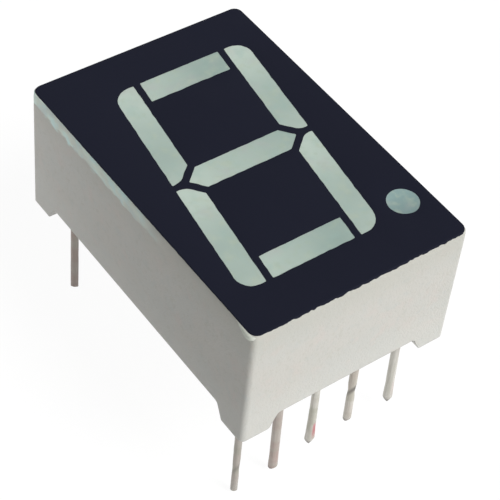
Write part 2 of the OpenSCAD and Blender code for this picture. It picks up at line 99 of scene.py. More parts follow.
# %% [markdown]
# The camera stands over the front left corner and looks down on the face, far enough back for
# the edges to stay nearly parallel. An azimuth, an elevation, a distance and a small roll put it
# there in four plain numbers.

# %% Aim the camera
AIM = Vector((-0.94, -2.279, 3.8)) * MM
AZIMUTH = math.radians(-40.573)
ELEVATION = math.radians(47.252)
ROLL = math.radians(6.597)
DISTANCE = 86.0 * MM
SENSOR_MM = 36.0
LENS_MM = 125.64

back = Vector((
    math.sin(AZIMUTH) * math.cos(ELEVATION),
    -math.cos(AZIMUTH) * math.cos(ELEVATION),
    math.sin(ELEVATION),
))
camera = bpy.data.objects.new("camera", bpy.data.cameras.new("camera"))
camera.data.sensor_width = SENSOR_MM
camera.data.lens = LENS_MM
camera.data.clip_start = 1 * MM
camera.data.clip_end = 5.0
camera.location = AIM + back * DISTANCE
camera.rotation_mode = "QUATERNION"
camera.rotation_quaternion = (-back).to_track_quat("-Z", "Y") @ Quaternion((0, 0, 1), ROLL)
scene.collection.objects.link(camera)
scene.camera = camera
print("camera at, mm:", [round(v / MM, 1) for v in camera.location])

# %% [markdown]
# A material is a small circuit of nodes. Writing each node as four or five lines hides what the
# circuit does, so one helper adds a node, sets its options and fills its sockets by name. A value
# may be a plain number, a colour, or the output of another node, which is then wired in. The
# other helpers name what the circuits do again and again.

# %% Make nodes readable


def fill(tree, node, sockets):
    """Gives each named input a value, or a wire when the value is another node's output."""
    for label, value in sockets.items():
        if isinstance(value, bpy.types.NodeSocket):
            tree.links.new(value, node.inputs[label])
        else:
            node.inputs[label].default_value = value
    return node


def add(tree, kind, sockets=None, **options):
    """One shader node, with its options set and its inputs filled."""
    node = tree.nodes.new("ShaderNode" + kind)
    for option, value in options.items():
        setattr(node, option, value)
    return fill(tree, node, sockets or {})


def mix_colours(tree, share, first, second):
    """A colour between two, as the output of a Mix node in its colour mode."""
    FACTOR, COLOUR_A, COLOUR_B, RESULT = 0, 6, 7, 2
    node = tree.nodes.new("ShaderNodeMix")
    node.data_type = "RGBA"
    fill(tree, node, {FACTOR: share, COLOUR_A: first, COLOUR_B: second})
    return node.outputs[RESULT]


def combine(tree, operation, first, second=0.0, clamp=True):
    """One of the Math node's operations, kept from 0 to 1 unless clamp is off."""
    node = add(tree, "Math", {0: first, 1: second}, operation=operation, use_clamp=clamp)
    return node.outputs[0]


def dot_product(tree, first, second):
    """How far one vector reaches along another."""
    node = add(tree, "VectorMath", {0: first, 1: second}, operation="DOT_PRODUCT")
    return node.outputs["Value"]


def between(tree, mask, low, high):
    """A number that runs from low to high with a mask."""
    return add(tree, "MapRange", {"Value": mask, "To Min": low, "To Max": high}).outputs["Result"]


def steps(tree, value, low, high):
    """A smooth mask of where a value passes from low to high."""
    limits = {"Value": value, "From Min": low, "From Max": high}
    return add(tree, "MapRange", limits, interpolation_type="SMOOTHSTEP").outputs["Result"]


def tinted(tree, tone, colour, mask, strength):
    """A tone drawn towards a colour by a mask, as far as the strength says."""
    return mix_colours(tree, combine(tree, "MULTIPLY", mask, strength), tone, colour)


# %% [markdown]
# Every finish on this part drifts: plastic mottles as it cools, resin clouds, tin streaks. That
# is one effect at different scales, so it is built once as a node group. It reads the point in
# millimetres, stretches it, and returns a soft patchy mask from 0 to 1. `Seed` picks another
# pattern, and `Low` and `High` say which part of the noise becomes the ramp.

# %% Build the mottle group


def new_group(name, **inputs):
    """A shader group with named inputs and a Mask to fill, its inputs' sockets and its end."""
    group = bpy.data.node_groups.new(name, "ShaderNodeTree")
    for label, value in inputs.items():
        kind = "NodeSocketVector" if isinstance(value, tuple) else "NodeSocketFloat"
        group.interface.new_socket(label, in_out="INPUT", socket_type=kind).default_value = value
    group.interface.new_socket("Mask", in_out="OUTPUT", socket_type="NodeSocketFloat")
    return group, group.nodes.new("NodeGroupInput").outputs, group.nodes.new("NodeGroupOutput")


def placed(tree, group, sockets):
    """The mask of a shared group, placed in a material with its inputs filled."""
    node = tree.nodes.new("ShaderNodeGroup")
    node.node_tree = group
    return fill(tree, node, sockets).outputs["Mask"]


def point_in_mm(tree):
    """The shaded point in the part's own frame, in mm."""
    place = add(tree, "TexCoord").outputs["Object"]
    return add(tree, "VectorMath", {"Vector": place, "Scale": 1 / MM}, operation="SCALE").outputs[0]


mottle_group, given, result = new_group(
    "mottle", Size=1.0, Stretch=(1.0, 1.0, 1.0), Seed=0.0, Detail=2.0, Low=0.35, High=0.65
)
place = {0: point_in_mm(mottle_group), 1: given["Stretch"]}
pattern = {
    "Vector": add(mottle_group, "VectorMath", place, operation="DIVIDE").outputs[0],
    "W": given["Seed"],
    "Scale": combine(mottle_group, "DIVIDE", 1.0, given["Size"], clamp=False),
    "Detail": given["Detail"],
}
clouds = add(mottle_group, "TexNoise", pattern, noise_dimensions="4D").outputs[0]
fill(mottle_group, result, {"Mask": steps(mottle_group, clouds, given["Low"], given["High"])})
print("mottle group:", len(mottle_group.nodes), "nodes")


def mottle(tree, size, seed, **values):
    """The mottle group placed in a material, with a size in mm and its own seed."""
    named = {label.capitalize(): value for label, value in values.items()}
    return placed(tree, mottle_group, {"Size": size, "Seed": seed, **named})


# %% [markdown]
# Some effects belong to a zone of the part, such as the top of a wall or the end of a lead. A
# second group gives a smooth mask between two places along one axis, again in millimetres. The
# axes used most get names.

# %% Build the zone group
UP, DOWN = (0.0, 0.0, 1.0), (0.0, 0.0, -1.0)
LEFT, BACK = (-1.0, 0.0, 0.0), (0.0, 1.0, 0.0)
zone_group, given, result = new_group("zone", Axis=UP, From=0.0, To=1.0)
along = dot_product(zone_group, point_in_mm(zone_group), given["Axis"])
fill(zone_group, result, {"Mask": steps(zone_group, along, given["From"], given["To"])})
print("zone group:", len(zone_group.nodes), "nodes")


def zone(tree, axis, start, end):
    """A mask that rises from 0 at one place to 1 at another along an axis."""
    return placed(tree, zone_group, {"Axis": axis, "From": start, "To": end})


# %% [markdown]
# Moulded corners and cut metal catch more light than the flats beside them, and handling polishes
# them, so the finishes below paint a highlight along their edges, partly for that polish. The Bevel
# node shows where a surface turns within a small radius: there its softened normal leans away
# from the true one. The third group turns that lean into an edge mask.

# %% Build the edge group
edge_group, given, result = new_group("edge", Radius=0.1, Gain=4.0)
radius = combine(edge_group, "MULTIPLY", given["Radius"], MM)
softened = add(edge_group, "Bevel", {"Radius": radius}, samples=4).outputs[0]
true_normal = add(edge_group, "NewGeometry").outputs["Normal"]
lean = combine(edge_group, "SUBTRACT", 1.0, dot_product(edge_group, softened, true_normal))
fill(edge_group, result, {"Mask": combine(edge_group, "MULTIPLY", lean, given["Gain"])})
print("edge group:", len(edge_group.nodes), "nodes")


def edges(tree, radius_mm, gain):
    """A mask that is bright along edges, within a radius in mm."""
    return placed(tree, edge_group, {"Radius": radius_mm, "Gain": gain})


# %% [markdown]
# Each material keeps its own Principled shader. Values that are the same all over are set on the
# shader, and only what changes over the surface is wired in. A few more helpers do the steps that
# every finish needs.

# %% Start materials the same way


def new_material(name, **constants):
    """A material, its node tree and its Principled shader with the given constants."""
    material = bpy.data.materials.new(name)
    material.use_nodes = True
    tree = material.node_tree
    shader = tree.nodes["Principled BSDF"]
    for label, value in constants.items():
        shader.inputs[label.replace("_", " ").title().replace("Ior", "IOR")].default_value = value
    return material, tree, shader


def paint(tree, shader, tone, mask, from_rough, to_rough):
    """Wires a tone, and a roughness that runs between two values with a mask."""
    rough = between(tree, mask, from_rough, to_rough)
    fill(tree, shader, {"Base Color": tone, "Roughness": rough})


def bump(tree, shader, height, depth_mm, rounding_mm=0.0):
    """Feeds a height mask to the shader's normal, as relief of a depth in mm.

    With a rounding, the relief lies on a normal that rounds the edges by that radius.
    """
    node = add(tree, "Bump", {"Height": height, "Distance": depth_mm * MM})
    if rounding_mm:
        rounded = add(tree, "Bevel", {"Radius": rounding_mm * MM}, samples=6)
        tree.links.new(rounded.outputs[0], node.inputs["Normal"])
    tree.links.new(node.outputs["Normal"], shader.inputs["Normal"])


def dress(node_name, material):
    """Gives a CAD node its finish."""
    frame["nodes"][node_name].material_slots[0].material = material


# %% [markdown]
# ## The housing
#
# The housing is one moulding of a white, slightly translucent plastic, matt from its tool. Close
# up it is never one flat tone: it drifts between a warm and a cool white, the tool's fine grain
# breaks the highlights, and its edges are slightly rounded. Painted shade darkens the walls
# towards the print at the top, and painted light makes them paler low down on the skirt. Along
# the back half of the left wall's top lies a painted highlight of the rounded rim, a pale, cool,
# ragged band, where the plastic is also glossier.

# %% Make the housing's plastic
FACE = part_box("face_print")[0].z / MM      # the moulded face, under the print
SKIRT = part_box("back_potting")[0].z / MM   # about where the skirt becomes a thin wall
PAINTED_SHADE_TOP = FACE - 2.5, FACE + 0.1         # heights between which painted shade darkens the walls towards the top
PAINTED_LIGHT_SKIRT = -SKIRT - 2.5, -SKIRT          # depths between which painted light makes the lower walls paler
HIGHLIGHT_HEIGHT = FACE - 1.2, FACE - 0.2       # where the painted highlight begins, and where it is full
HIGHLIGHT_SIDE = 6.15, 6.27                     # just inside the left wall's surface, and just at it
HIGHLIGHT_RUN = -3.0, 1.2                       # where it begins from the front, and where it is full


def painted_rim_highlight(tree):
    """A painted highlight along the left wall's top: ragged below, fading towards the front."""
    fringe = between(tree, mottle(tree, 0.32, 3.0, stretch=(1.0, 2.0, 1.0)), -0.16, 0.16)
    ragged = combine(tree, "ADD", zone(tree, UP, *HIGHLIGHT_HEIGHT), fringe, clamp=False)
    patches = between(tree, mottle(tree, 0.9, 8.0, stretch=(1.0, 1.6, 1.0)), 0.5, 1.0)
    film = combine(tree, "MULTIPLY", steps(tree, ragged, 0.22, 0.5), patches)
    for axis, limits in ((LEFT, HIGHLIGHT_SIDE), (BACK, HIGHLIGHT_RUN)):
        film = combine(tree, "MULTIPLY", film, zone(tree, axis, *limits))
    return film


def housing_plastic():
    material, tree, shader = new_material(
        "housing_plastic",
        specular_ior_level=0.25,
        subsurface_weight=0.12,
        subsurface_radius=(1.0, 0.9, 0.8),
        subsurface_scale=0.25 * MM,
    )
    drift = mottle(tree, 2.2, 1.0)
    tone = mix_colours(tree, drift, screen(209, 207, 201), screen(207, 207, 202))
    for size, seed, tint in (
        (0.9, 2.0, screen(213, 205, 199)),
        (0.5, 2.5, screen(201, 204, 200)),
        (0.22, 2.8, screen(198, 197, 188)),
    ):
        tone = tinted(tree, tone, tint, mottle(tree, size, seed, low=0.52, high=0.72), 0.5)
    # Painted shade near the top of the walls, and painted light on the lower skirt.
    tone = tinted(tree, tone, screen(197, 197, 188), zone(tree, UP, *PAINTED_SHADE_TOP), 0.6)
    tone = tinted(tree, tone, screen(216, 216, 211), zone(tree, DOWN, *PAINTED_LIGHT_SKIRT), 0.5)
    # The pale, cool band along the left wall's top is a painted highlight of its rounded rim.
    film = painted_rim_highlight(tree)
    highlight_tone = mix_colours(tree, mottle(tree, 0.7, 9.0), screen(214, 245, 242), screen(228, 244, 231))
    tone = mix_colours(tree, film, tone, highlight_tone)
    paint(tree, shader, tone, film, 0.55, 0.3)
    bump(tree, shader, mottle(tree, 0.09, 4.0, detail=1.0), 0.006, rounding_mm=0.06)
    return material


dress("housing", housing_plastic())
print("face at", round(FACE, 2), "mm, potting at", round(SKIRT, 2), "mm")

# %% [markdown]
# ## The face print
#
# The black face is a film of screen ink about as thick as a hair. Ink pulls its edges round, so
# each window has a soft shoulder that wanders a few hundredths of a millimetre, and at the rim it
# runs a little way down the walls, raggedly. The CAD print has the right outline with knife-sharp
# sides. Its own top outline is read back and the film is rebuilt from it, ring by ring, so that
# the print still sits where the CAD says.

# %% Read the print's outlines from the CAD node
WELD = 0.0005 * MM          # points closer than this are one


def pairs(loop):
    """Each point of a closed outline with the next one."""
    return zip(loop, loop[1:] + loop[:1])


def girth(outline):
    """The length round a closed outline."""
    return sum((b - a).length for a, b in pairs(outline))


def top_outlines(node_name):
    """Closed outlines of a CAD node's top face, longest first, each with the face on its left.

    Each starts at its back right, far from the bead that is added below.
    """
    bm = bmesh.new()
    bm.from_mesh(frame["nodes"][node_name].data)
    bmesh.ops.remove_doubles(bm, verts=bm.verts, dist=WELD)
    top = max(v.co.z for v in bm.verts)
    # A dict keeps the faces in order, and a set would not.
    flat = dict.fromkeys(f for f in bm.faces if min(v.co.z for v in f.verts) > top - WELD)
    following = {}
    for face in flat:
        for corner in face.loops:
            if sum(f in flat for f in corner.edge.link_faces) == 1:
                following[corner.vert] = corner.link_loop_next.vert
    outlines = []
    while following:
        start, vert = next(iter(following.items()))
        outline = [start.co.xy.copy()]
        del following[start]
        while vert is not start:
            outline.append(vert.co.xy.copy())
            vert = following.pop(vert)
        first = max(range(len(outline)), key=lambda i: outline[i].x + outline[i].y)
        outlines.append(outline[first:] + outline[:first])
    bm.free()
    return sorted(outlines, key=girth, reverse=True)


rim_outline, *window_outlines = top_outlines("face_print")
print("rim:", round(girth(rim_outline) / MM, 1), "mm round, windows:", len(window_outlines))

# %% [markdown]
# The outlines come with few points on their straight sides, so points are added at an even pace
# between those of the CAD, which keeps the corners crisp. Then the edge is pushed in and out by
# smooth noise. Noise in the plane of the face, and not along the outline, keeps neighbouring
# edges from repeating each other.

# %% Let an outline wander
PACE = 0.07 * MM            # the longest step between two points


def paced(outline):
    """The same closed outline with points added at an even pace along its straight sides."""
    points = []
    for a, b in pairs(outline):
        count = max(1, round((b - a).length / PACE))
        points += [a.lerp(b, i / count) for i in range(count)]
    return points


def outward(outline):
    """Unit normals in the plane, away from the film."""
    before, after = outline[-1:] + outline[:-1], outline[1:] + outline[:1]
    return [Vector((b.y - a.y, a.x - b.x)).normalized() for a, b in zip(before, after)]


def waver(point, size, seed):
    """Smooth noise from -1 to 1 at a point, with features of the given size."""
    return noise.noise(Vector((point.x / size, point.y / size, seed)))


def smooth_share(value, start, end):
    """0 before start, 1 past end, and smooth in between."""
    share = min(1.0, max(0.0, (value - start) / (end - start)))
    return share * share * (3 - 2 * share)


def wandered(outline, shift, sway, size, seed):
    """The outline moved outwards by a shift and a swaying amount."""
    moves = [shift + sway * waver(p, size, seed) for p in outline]
    return [p + n * move for p, n, move in zip(outline, outward(outline), moves)]


INK_OVERLAP = 0.005 * MM    # how far the ink laps over the resin's edge
EDGE_SWAY = 0.03 * MM       # how far it wanders, and over what distance
EDGE_WAVE = 0.42 * MM
window_edges = [
    wandered(paced(outline), INK_OVERLAP, EDGE_SWAY, EDGE_WAVE, 10.0 + number)
    for number, outline in enumerate(window_outlines)
]
rim_edge = paced(rim_outline)
print("rim points:", len(rim_edge), "window points:", sum(map(len, window_edges)))

# %% [markdown]
# Each outline now becomes a stack of rings. Round a window the film rolls over and drops to the
# resin. At the rim it hangs a little over the housing's rounded edge, a quarter of an ellipse,
# and follows it down to a depth that wanders. The squeegee ran towards the front, so the front
# wall got the deepest and most ragged lip. The flat between all the first rings is filled with
# triangles, and so is the underside, so the film is closed.

# %% Build the ink film
FILM_PROUD = 0.01 * MM      # the ink's surface above the resin's
RIM_IN = 0.05 * MM          # how far in the housing's rounded rim stands, and how far down it goes
RIM_DROP = 0.6 * MM
LIP_DEPTH = 0.02 * MM       # how far the ink runs down the walls
FRONT_DEPTH = 0.07 * MM     # how much farther on the front wall
FRONT_FROM = 0.3 * MM, 1.3 * MM    # from the left corner, where that begins and where it is full
LIP_SWAY = 0.5              # share of the depth by which it wanders, and over what distance
LIP_WAVE = 0.2 * MM
LIP_STEPS = 5
LIP_SKIN = 0.03 * MM        # how thick the lip is where it rolls over
LIP_THINNING = 0.95         # how much of its square is gone by its end
LIP_CURL = 0.3              # share of its thickness by which it stands higher
LIP_ROLL = (-0.03, 0.0), (0.0, 0.002), (0.018, 0.008)    # how its top rolls: out and down, in mm
SHOULDER = (-0.02, 0.0), (-0.008, 0.002), (-0.002, 0.006), (0.0, 0.013)    # the same at a window

film_base, film_top = (corner.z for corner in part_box("face_print"))
film_top += FILM_PROUD


def bridge(bm, rings):
    """Quads between each ring of points and the next, all of one length."""
    for upper, lower in zip(rings, rings[1:]):
        for i in range(len(upper)):
            bm.faces.new((upper[i], upper[i - 1], lower[i - 1], lower[i]))


def ring_stack(bm, outline, stations):
    """Rings at each station, bridged. A station is an out and a height, or lists of them."""
    normals, rings = outward(outline), []
    for station in stations:
        outs, heights = (v if isinstance(v, list) else [v] * len(outline) for v in station)
        places = zip(outline, normals, outs, heights)
        rings.append([bm.verts.new((*(p + n * out), height)) for p, n, out, height in places])
    bridge(bm, rings)
    return rings[0], rings[-1]


def closed_edges(bm, verts):
    """The edges of a ring."""
    return [bm.edges.get(pair) for pair in pairs(verts)]


def rim_out(drop):
    """How far the housing's rounded rim stands out at a drop below the face."""
    rise = max(0.0, 1.0 - drop / RIM_DROP)
    return RIM_IN * math.sqrt(1.0 - rise * rise)


def rolled(profile):
    """Stations that follow a profile of outs and drops, in mm, from the film's top."""
    return [(out * MM, film_top - down * MM) for out, down in profile]


def lip_stations(outline):
    """How the film rolls over the rim: out and down the ellipse to a wandering depth, then thin."""
    depths, left = [], min(point.x for point in outline)
    for point, normal in zip(outline, outward(outline)):
        front = max(0.0, -normal.y) * smooth_share(point.x - left, *FRONT_FROM)
        sway = 2 * waver(point, LIP_WAVE, 30.0) + waver(point, 3 * LIP_WAVE, 31.0)
        depths.append((LIP_DEPTH + FRONT_DEPTH * front) * (1.0 + LIP_SWAY * sway))
    stations = rolled(LIP_ROLL)
    for step in range(1, LIP_STEPS + 1):
        share = step / LIP_STEPS
        skin = LIP_SKIN * math.sqrt(1.0 - LIP_THINNING * share)
        outs, heights = [], []
        for depth in depths:
            outs.append(rim_out(depth * share) + skin)
            heights.append(film_base - depth * share + LIP_CURL * skin)
        stations.append((outs, heights))
    return [*stations, (0.0, film_base)]


def build_film():
    """The whole film as one closed mesh."""
    bm = bmesh.new()
    top_edges, base_edges = [], []
    stacks = [(rim_edge, lip_stations(rim_edge))]
    stacks += [(edge, [*rolled(SHOULDER), (0.0, film_base)]) for edge in window_edges]
    for outline, stations in stacks:
        upper, lower = ring_stack(bm, outline, stations)
        top_edges += closed_edges(bm, upper)
        base_edges += closed_edges(bm, lower)
    for ring_edges, up in ((top_edges, 1.0), (base_edges, -1.0)):
        bmesh.ops.triangle_fill(bm, use_beauty=True, edges=ring_edges, normal=(0.0, 0.0, up))
    return bm


def new_object(name, bm, material):
    """An object made from a bmesh, in the scene and with its material."""
    mesh = bpy.data.meshes.new(name)
    bm.to_mesh(mesh)
    bm.free()
    mesh.materials.append(material)
    made = bpy.data.objects.new(name, mesh)
    scene.collection.objects.link(made)
    return made


def new_piece(name, bm, material, smooth_below=40.0):
    """A finished piece from a bmesh: smooth up to an angle, and riding on the body."""
    bmesh.ops.recalc_face_normals(bm, faces=bm.faces)
    piece = new_object(name, bm, material)
    piece.data.shade_smooth()
    piece.data.set_sharp_from_angle(angle=math.radians(smooth_below))
    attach(piece, BODY)
    return piece


# %% [markdown]
# The ink itself is a matt blue-black. It is dense enough to hide the plastic, so there is no
# translucency. The screen's mesh leaves a faint orange peel, and the tone drifts slightly.

# %% Make the ink


def face_ink():
    material, tree, shader = new_material("face_ink", specular_ior_level=0.05)
    drift = mottle(tree, 1.6, 5.0, detail=3.0)
    tone = mix_colours(tree, drift, screen(29, 31, 44), screen(31, 33, 46))
    specks = mottle(tree, 0.12, 6.0, low=0.66, high=0.74)
    tone = tinted(tree, tone, screen(38, 40, 55), specks, 0.3)
    # Painted highlight, partly handling polish: the ink is paler along its edges.
    tone = tinted(tree, tone, screen(40, 44, 50), edges(tree, 0.02, 3.0), 0.2)
    paint(tree, shader, tone, drift, 0.62, 0.74)
    bump(tree, shader, mottle(tree, 0.22, 7.0, low=0.2, high=0.8), 0.003)
    return material


film = new_piece("ink_film", build_film(), face_ink())
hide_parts("face_print")
print("ink film:", len(film.data.polygons), "faces")

# %% [markdown]
# By the front left corner the casting resin also stands proud of the wall, as a small bead under
# the ink, and its top catches the light. It follows the rim, so its sections are set along the
# print's own outline: each is the same rounded profile, swelling towards the corner and gone just
# past it.

# %% Add the bead at the corner
BEAD_OUT = 0.14 * MM        # how far it stands out, and reaches down
BEAD_DOWN = 0.34 * MM
BEAD_ROOT = 0.04 * MM       # how deep it sits in the wall
BEAD_BACK = -1.6 * MM, -0.3 * MM     # behind the corner: where it begins, and is whole
BEAD_PAST = -0.3 * MM, -0.03 * MM    # to the corner's right: where it ends, and is still whole
BEAD_LEAST = 0.02           # below this share of its size it is left out
BEAD_OUTS = 0.3, 0.7, 0.92, 1.0, 0.85, 0.45, 0.0      # its section from the top down, as shares
BEAD_DROPS = 0.02, 0.14, 0.36, 0.6, 0.82, 0.96, 1.0


def bead_amount(point, corner):
    """How much of the bead there is at a point of the outline, from 0 to 1."""
    behind = smooth_share(corner.y - point.y, *BEAD_BACK)
    return behind * smooth_share(corner.x - point.x, *BEAD_PAST)


def build_bead():
    """The bead as a closed mesh."""
    bm = bmesh.new()
    corner = Vector((min(p.x for p in rim_edge), min(p.y for p in rim_edge)))
    rings = []
    for point, normal in zip(rim_edge, outward(rim_edge)):
        amount = bead_amount(point, corner)
        if amount < BEAD_LEAST:
            continue
        drops = [drop * amount * BEAD_DOWN for drop in BEAD_DROPS]
        outs = [rim_out(drop) + out * amount * BEAD_OUT for out, drop in zip(BEAD_OUTS, drops)]
        outs, drops = outs + [-BEAD_ROOT, -BEAD_ROOT], drops + [drops[-1], drops[0]]
        places = [(*(point + normal * out), film_base - drop) for out, drop in zip(outs, drops)]
        rings.append([bm.verts.new(place) for place in places])
    bridge(bm, rings)
    bm.faces.new(rings[0])
    bm.faces.new(rings[-1])
    return bm


def spilt_resin():
    material, tree, shader = new_material("spilt_resin", roughness=0.45)
    tone = mix_colours(tree, mottle(tree, 0.4, 71.0), screen(216, 222, 210), screen(224, 225, 218))
    tree.links.new(tone, shader.inputs["Base Color"])
    return material


bead = new_piece("corner_bead", build_bead(), spilt_resin(), smooth_below=70.0)
print("bead:", len(bead.data.polygons), "faces")

# %% [markdown]
# ## The lights
#
# The bars are not windows but solid resin, cast into the wells and loaded with a white diffuser
# so that the whole bar glows. Unlit, it is a pale grey-green, cloudy where the diffuser settled
# unevenly, and each well got its own dose of it. The resin shrank as it set, so the surface is a
# shallow dish, and along a bar a painted shade stands for the dish turning from the lamp: darkest
# below the middle of an upright bar, and near the right end of a level one.
# The CAD castings are right as they are, so only their finish is made here, with each bar's own
# middle and length read from its box.

# %% Cast the milky resin
DISH_DEPTH = 0.1            # in mm, at the middle of a bar
# The way along a bar, the place where its painted shade is darkest and how far that reaches, as
# shares of half its length: for a level bar, then for an upright one.
SHADE_ACROSS = (1.0, 0.0, 0.0), 0.8, 2.0
SHADE_UP = BACK, -0.3, 1.4
SHADE_LIFT, CLOUDS = 0.6, 0.2    # how much paler a bar gets away from its painted shade, and in its clouds
TINT_SHARE = 0.38
DOSES = {"a": 0.0, "b": 0.38, "c": 0.38, "d": 0.05, "e": 0.34, "f": 0.34, "g": 0.22, "dp": 0.5}


def along_bar(tree, node_name):
    """How far a point is from a light's middle, and a mask that is 0 where its painted shade is
    darkest.
    """
    low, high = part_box(node_name)
    middle, reach = (low + high) / (2 * MM), (high - low) / (2 * MM)
    lengthwise, darkest, spread = SHADE_ACROSS if reach.x > reach.y else SHADE_UP
    place = add(tree, "VectorMath", {0: point_in_mm(tree), 1: middle}, operation="SUBTRACT")
    run = dot_product(tree, place.outputs[0], lengthwise)
    share = combine(tree, "DIVIDE", run, max(reach.x, reach.y), clamp=False)
    shifted = combine(tree, "SUBTRACT", share, darkest, clamp=False)
    from_dark = combine(tree, "ABSOLUTE", shifted, clamp=False)
    return combine(tree, "ABSOLUTE", share, clamp=False), steps(tree, from_dark, 0.0, spread)


def milky_resin(node_name, dose, pale, deep_and_shaded, seed):
    material, tree, shader = new_material(
        "milky_" + node_name,
        specular_ior_level=0.3,
        ior=1.52,
        subsurface_weight=0.25,
        subsurface_radius=(0.9, 1.0, 0.95),
        subsurface_scale=0.3 * MM,
    )
    from_middle, dish_shade = along_bar(tree, node_name)
    uneven = mottle(tree, 1.7, seed, stretch=(1.2, 1.0, 1.0), detail=3.0, low=0.25, high=0.7)
    # The painted shade of the dish, the well's dose and the diffuser's clouds together set how pale
    # the bar is.
    diffuser_and_shade = combine(tree, "ADD", combine(tree, "MULTIPLY", dish_shade, SHADE_LIFT), dose)
    diffuser_and_shade = combine(tree, "ADD", diffuser_and_shade, combine(tree, "MULTIPLY", uneven, CLOUDS))
    tone = mix_colours(tree, diffuser_and_shade, deep_and_shaded, pale)
    for size, offset, tint in (
        (1.2, 1.0, screen(190, 190, 190)),
        (0.9, 2.0, screen(168, 196, 189)),
        (0.7, 3.0, screen(196, 207, 186)),
        (0.35, 4.0, screen(180, 197, 179)),
    ):
        cloud = mottle(tree, size, seed + offset, low=0.5, high=0.75)
        tone = tinted(tree, tone, tint, cloud, TINT_SHARE)
    paint(tree, shader, tone, uneven, 0.36, 0.44)
    bump(tree, shader, combine(tree, "POWER", from_middle, 2.0, clamp=False), DISH_DEPTH)
    return material


# The darker colour is the clear resin where the dose is low, and the painted shade of the dish.
for number, light in enumerate(LIGHTS[:-1]):
    name, seed = "segment_" + light, 11.0 + 5 * number
    dress(name, milky_resin(name, DOSES[light], screen(199, 215, 205), screen(158, 180, 173), seed))
dot = milky_resin("decimal_point", DOSES["dp"], screen(143, 169, 168), screen(138, 164, 163), 51.0)
dress("decimal_point", dot)
print("lights dressed:", len(LIGHTS))

# %% [markdown]
# ## The leads
#
# The leads are round copper wire, dipped in solder and cropped with side cutters, so no two ends
# are alike: some are flat, some slanted, one is pinched to a wedge. They also stand a little off
# their nominal places. A bent, cropped lead can't be had by moving the CAD pin, so each is lofted
# anew. Inside the potting it keeps the CAD pin's collar and tail exactly, and below the feet it
# sways, leans and ends in its own way.

# %% Measure the CAD pins
COLLAR_FROM = 1.2           # times the wire's radius: farther out than this is the collar
mounts = {mount["name"]: mount for mount in frame["record"]["mounts"]}


def measured_pin(number):
    """The middle, radii, collar and tail of a CAD pin, in metres."""
    name = f"pin_{number}"
    middle, thin = Vector(mounts[name]["pos_m"][:2]), mounts[name]["dims"]["r_mm"] * MM
    spots = [v.co for v in frame["nodes"][name].data.vertices]
    collar = [p.z for p in spots if (p.xy - middle).length > COLLAR_FROM * thin]
    wide = max((p.xy - middle).length for p in spots)
    ends = {"collar": (min(collar), max(collar)), "tail": max(p.z for p in spots)}
    return {"middle": middle, "thin": thin, "wide": wide, **ends}


print("pin 1's collar, mm:", [round(z / MM, 2) for z in measured_pin(1)["collar"]])

# %% [markdown]
# One table says how each lead differs, with lengths in millimetres. `off` is how far it stands
# off its place along the row, `lean` how much more by its end, and `reach` how far it goes below
# the feet. `top` and `tip` are its width there as a share of the nominal one. The cutters squeeze
# an end flat by the share `squeeze`, and cut it as a roof: the ridge stands at `ridge`, from -1 at
# the left to 1 at the right, and the cut climbs by `left` and `right` towards the two sides.
# It also climbs towards the `front`. A tool once pinched two of the leads: `nick` is the share
# and `at` the depth below the feet. The last four are about the finish: how far the tone is
# darkened, which on lead 10 is painted shade for the shadow it hangs in, how `pink` and `green`
# the tin is, and how much `copper` shows at the right of the cut.

# %% Describe each lead
TRAITS = "off lean reach top tip squeeze ridge left right front nick at dull pink green copper"
LEADS = {
    1: (0.2, 0.13, 7.44, 0.9, 0.82, 0, 0, 0.02, 0.04, 0.25, 0.08, 5.4, 0.31, 0.4, 0.6, 0),
    2: (0.04, 0.22, 7.23, 1.08, 1.06, 0.1, -0.6, 0.1, 0.14, 0.1, 0, 0, 0.21, 1, 0.5, 0.1),
    3: (-0.1, 0.12, 6.62, 0.84, 1.04, 0.3, -0.05, 0.22, 0.4, 0, 0, 0, 0.02, 0.1, 0.7, 0.8),
    4: (-0.19, 0.17, 6.48, 1.02, 0.97, 0.05, -0.5, 0.1, 0.14, 0.05, 0.17, 3.95, 0, 0.4, 0.5, 0),
    5: (-0.03, 0.25, 6.65, 0.98, 1.04, 0.2, 0, 0.22, 0.3, 0, 0, 0, 0, 0.1, 0, 0.1),
    6: (0.05, -0.05, 6.25, 0.96, 1, 0.3, 0.2, 0.3, 0.2, 0, 0, 0, 0.14, 0.6, 0.4, 0.3),
    7: (-0.04, 0.06, 6.3, 1.04, 1.02, 0.1, -0.5, 0.05, 0.2, 0.1, 0, 0, 0.24, 0.4, 0.5, 0),
    8: (0.06, 0.03, 6.2, 0.94, 1.04, 0.4, 0, 0.35, 0.3, 0, 0, 0, 0.14, 0.5, 0.3, 0.4),
    9: (-0.06, -0.04, 6.1, 1, 0.96, 0.15, 0.4, 0.25, 0.05, 0, 0, 0, 0.3, 0.7, 0.6, 0.1),
    10: (0.19, 0.02, 6.34, 0.94, 0.96, 0, 0, 0.03, 0.02, 0.35, 0, 0, 0.4, 0.8, 0.3, 0),
}
LEADS = {number: dict(zip(TRAITS.split(), values)) for number, values in LEADS.items()}
print("lead ends below the feet, mm:", [shape["reach"] for shape in LEADS.values()])

# %% [markdown]
# A lead is a stack of rings from its tail down to its cut. Each ring's middle follows the lead's
# sway, and its width carries a trace of uneven tinning. Every column of points has its own end
# height on the roof of the cut, so the rings tilt into the cut gradually and none cross. The
# last rings draw in for the soft edge that the cutters leave, and a ladder of faces closes it.

